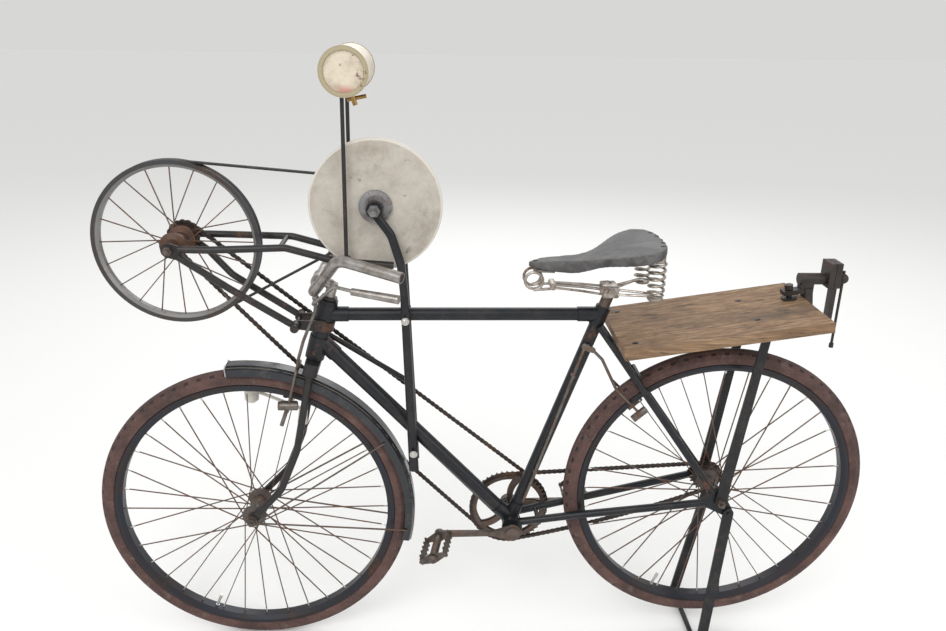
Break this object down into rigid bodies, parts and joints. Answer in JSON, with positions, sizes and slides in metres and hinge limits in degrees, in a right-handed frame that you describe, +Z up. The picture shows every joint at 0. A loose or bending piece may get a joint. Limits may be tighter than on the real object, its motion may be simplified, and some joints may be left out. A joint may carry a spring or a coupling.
{
  "type": "knife grinder bicycle",
  "caption": "Roadster bicycle on a rear stand with a pedal-driven grindstone over the frame, a water can above it and a bench plank behind.",
  "frame": {"origin": "on the floor, midway between the two wheel hubs and on the machine's centre plane", "axes": "+X towards the rear wheel, +Y towards the rider's right, the chain side, +Z up"},
  "size_m": [1.7871, 0.5138, 1.394],
  "materials": {
    "frame_enamel": "satin",
    "rusty_chrome": "worn",
    "rusty_steel": "rough",
    "wheel_steel": "worn",
    "rim_steel": "worn",
    "tyre_rubber": "matte",
    "block_rubber": "matte",
    "guard_enamel": "gloss",
    "dynamo_plastic": "worn",
    "grindstone": "rough",
    "can_enamel": "worn",
    "tap_brass": "worn",
    "saddle_leather": "worn",
    "plank_wood": "rough",
    "vise_iron": "rough"
  },
  "bodies": {
    "frame": {"head_tube": "frame_enamel", "bottom_bracket_shell": "frame_enamel", "top_tube": "frame_enamel", "down_tube": "frame_enamel", "seat_tube": "frame_enamel", "rear_dropouts": "frame_enamel", "chain_stays": "frame_enamel", "seat_stays": "frame_enamel", "rear_axle": "rusty_steel", "drive_axle": "rusty_steel", "grinder_posts": "rusty_steel", "post_bolts": "rusty_steel", "drive_upper_stays": "rusty_steel", "drive_lower_stays": "rusty_steel", "stay_clamp": "rusty_steel", "water_can": "can_enamel", "can_rods": "rusty_steel", "water_tap": "tap_brass", "saddle_top": "saddle_leather", "seat_pillar": "rusty_steel", "saddle_springs": "rusty_steel", "plank": "plank_wood", "plank_uprights": "rusty_steel", "vise_body": "vise_iron", "brake_rods": "rusty_chrome", "rear_brake": "rusty_chrome", "rear_chain": "rusty_steel", "grinder_chain": "rusty_steel", "belt": "block_rubber"},
    "steering": {"fork": "rusty_chrome", "front_axle": "rusty_steel", "stem": "rusty_chrome", "handlebar": "rusty_chrome", "brake_levers": "rusty_chrome", "front_brake": "rusty_chrome", "front_brake_blocks": "block_rubber", "front_mudguard": "guard_enamel", "mudguard_stays": "rusty_chrome", "dynamo": "dynamo_plastic"},
    "front_wheel": {"front_wheel": "rim_steel", "front_tyre": "tyre_rubber"},
    "rear_wheel": {"rear_wheel": "rim_steel", "rear_tyre": "tyre_rubber"},
    "crankset": {"crankset": "rusty_steel"},
    "left_pedal": {"left_pedal": "block_rubber"},
    "right_pedal": {"right_pedal": "block_rubber"},
    "drive_wheel": {"drive_wheel": "wheel_steel"},
    "stone": {"stone": "grindstone", "stone_spindle": "rusty_steel"},
    "stand": {"stand": "rusty_steel"},
    "vise_jaw": {"vise_jaw": "vise_iron"}
  },
  "joints": [
    {"name": "steering", "type": "hinge", "parent": "frame", "child": "steering", "pos_m": [-0.348, 0, 0.867], "axis": [0.2696, 0, 0.963], "range_deg": [-12, 4]},
    {"name": "front_wheel_spin", "type": "hinge", "parent": "steering", "child": "front_wheel", "pos_m": [-0.538, 0, 0.3556], "axis": [0, -1, 0], "continuous": true},
    {"name": "rear_wheel_spin", "type": "hinge", "parent": "frame", "child": "rear_wheel", "pos_m": [0.538, 0, 0.4016], "axis": [0, -1, 0], "continuous": true},
    {"name": "crank_spin", "type": "hinge", "parent": "frame", "child": "crankset", "pos_m": [0.06, 0, 0.318], "axis": [0, -1, 0], "continuous": true},
    {"name": "left_pedal_spin", "type": "hinge", "parent": "crankset", "child": "left_pedal", "pos_m": [-0.11, -0.06, 0.318], "axis": [0.1564, 0.9877, 0], "continuous": true},
    {"name": "right_pedal_spin", "type": "hinge", "parent": "crankset", "child": "right_pedal", "pos_m": [0.23, 0.072, 0.318], "axis": [0, 1, 0], "continuous": true},
    {"name": "drive_wheel_spin", "type": "hinge", "parent": "frame", "child": "drive_wheel", "pos_m": [-0.655, 0, 0.996], "axis": [0, -1, 0], "continuous": true},
    {"name": "stone_spin", "type": "hinge", "parent": "frame", "child": "stone", "pos_m": [-0.239, 0, 1.083], "axis": [0, -1, 0], "continuous": true},
    {"name": "stand_fold", "type": "hinge", "parent": "frame", "child": "stand", "pos_m": [0.56, 0, 0.372], "axis": [0, -1, 0], "range_deg": [0, 105]},
    {"name": "vise_slide", "type": "slide", "parent": "frame", "child": "vise_jaw", "axis": [1, 0, 0], "range_m": [0, 0.045]}
  ]
}
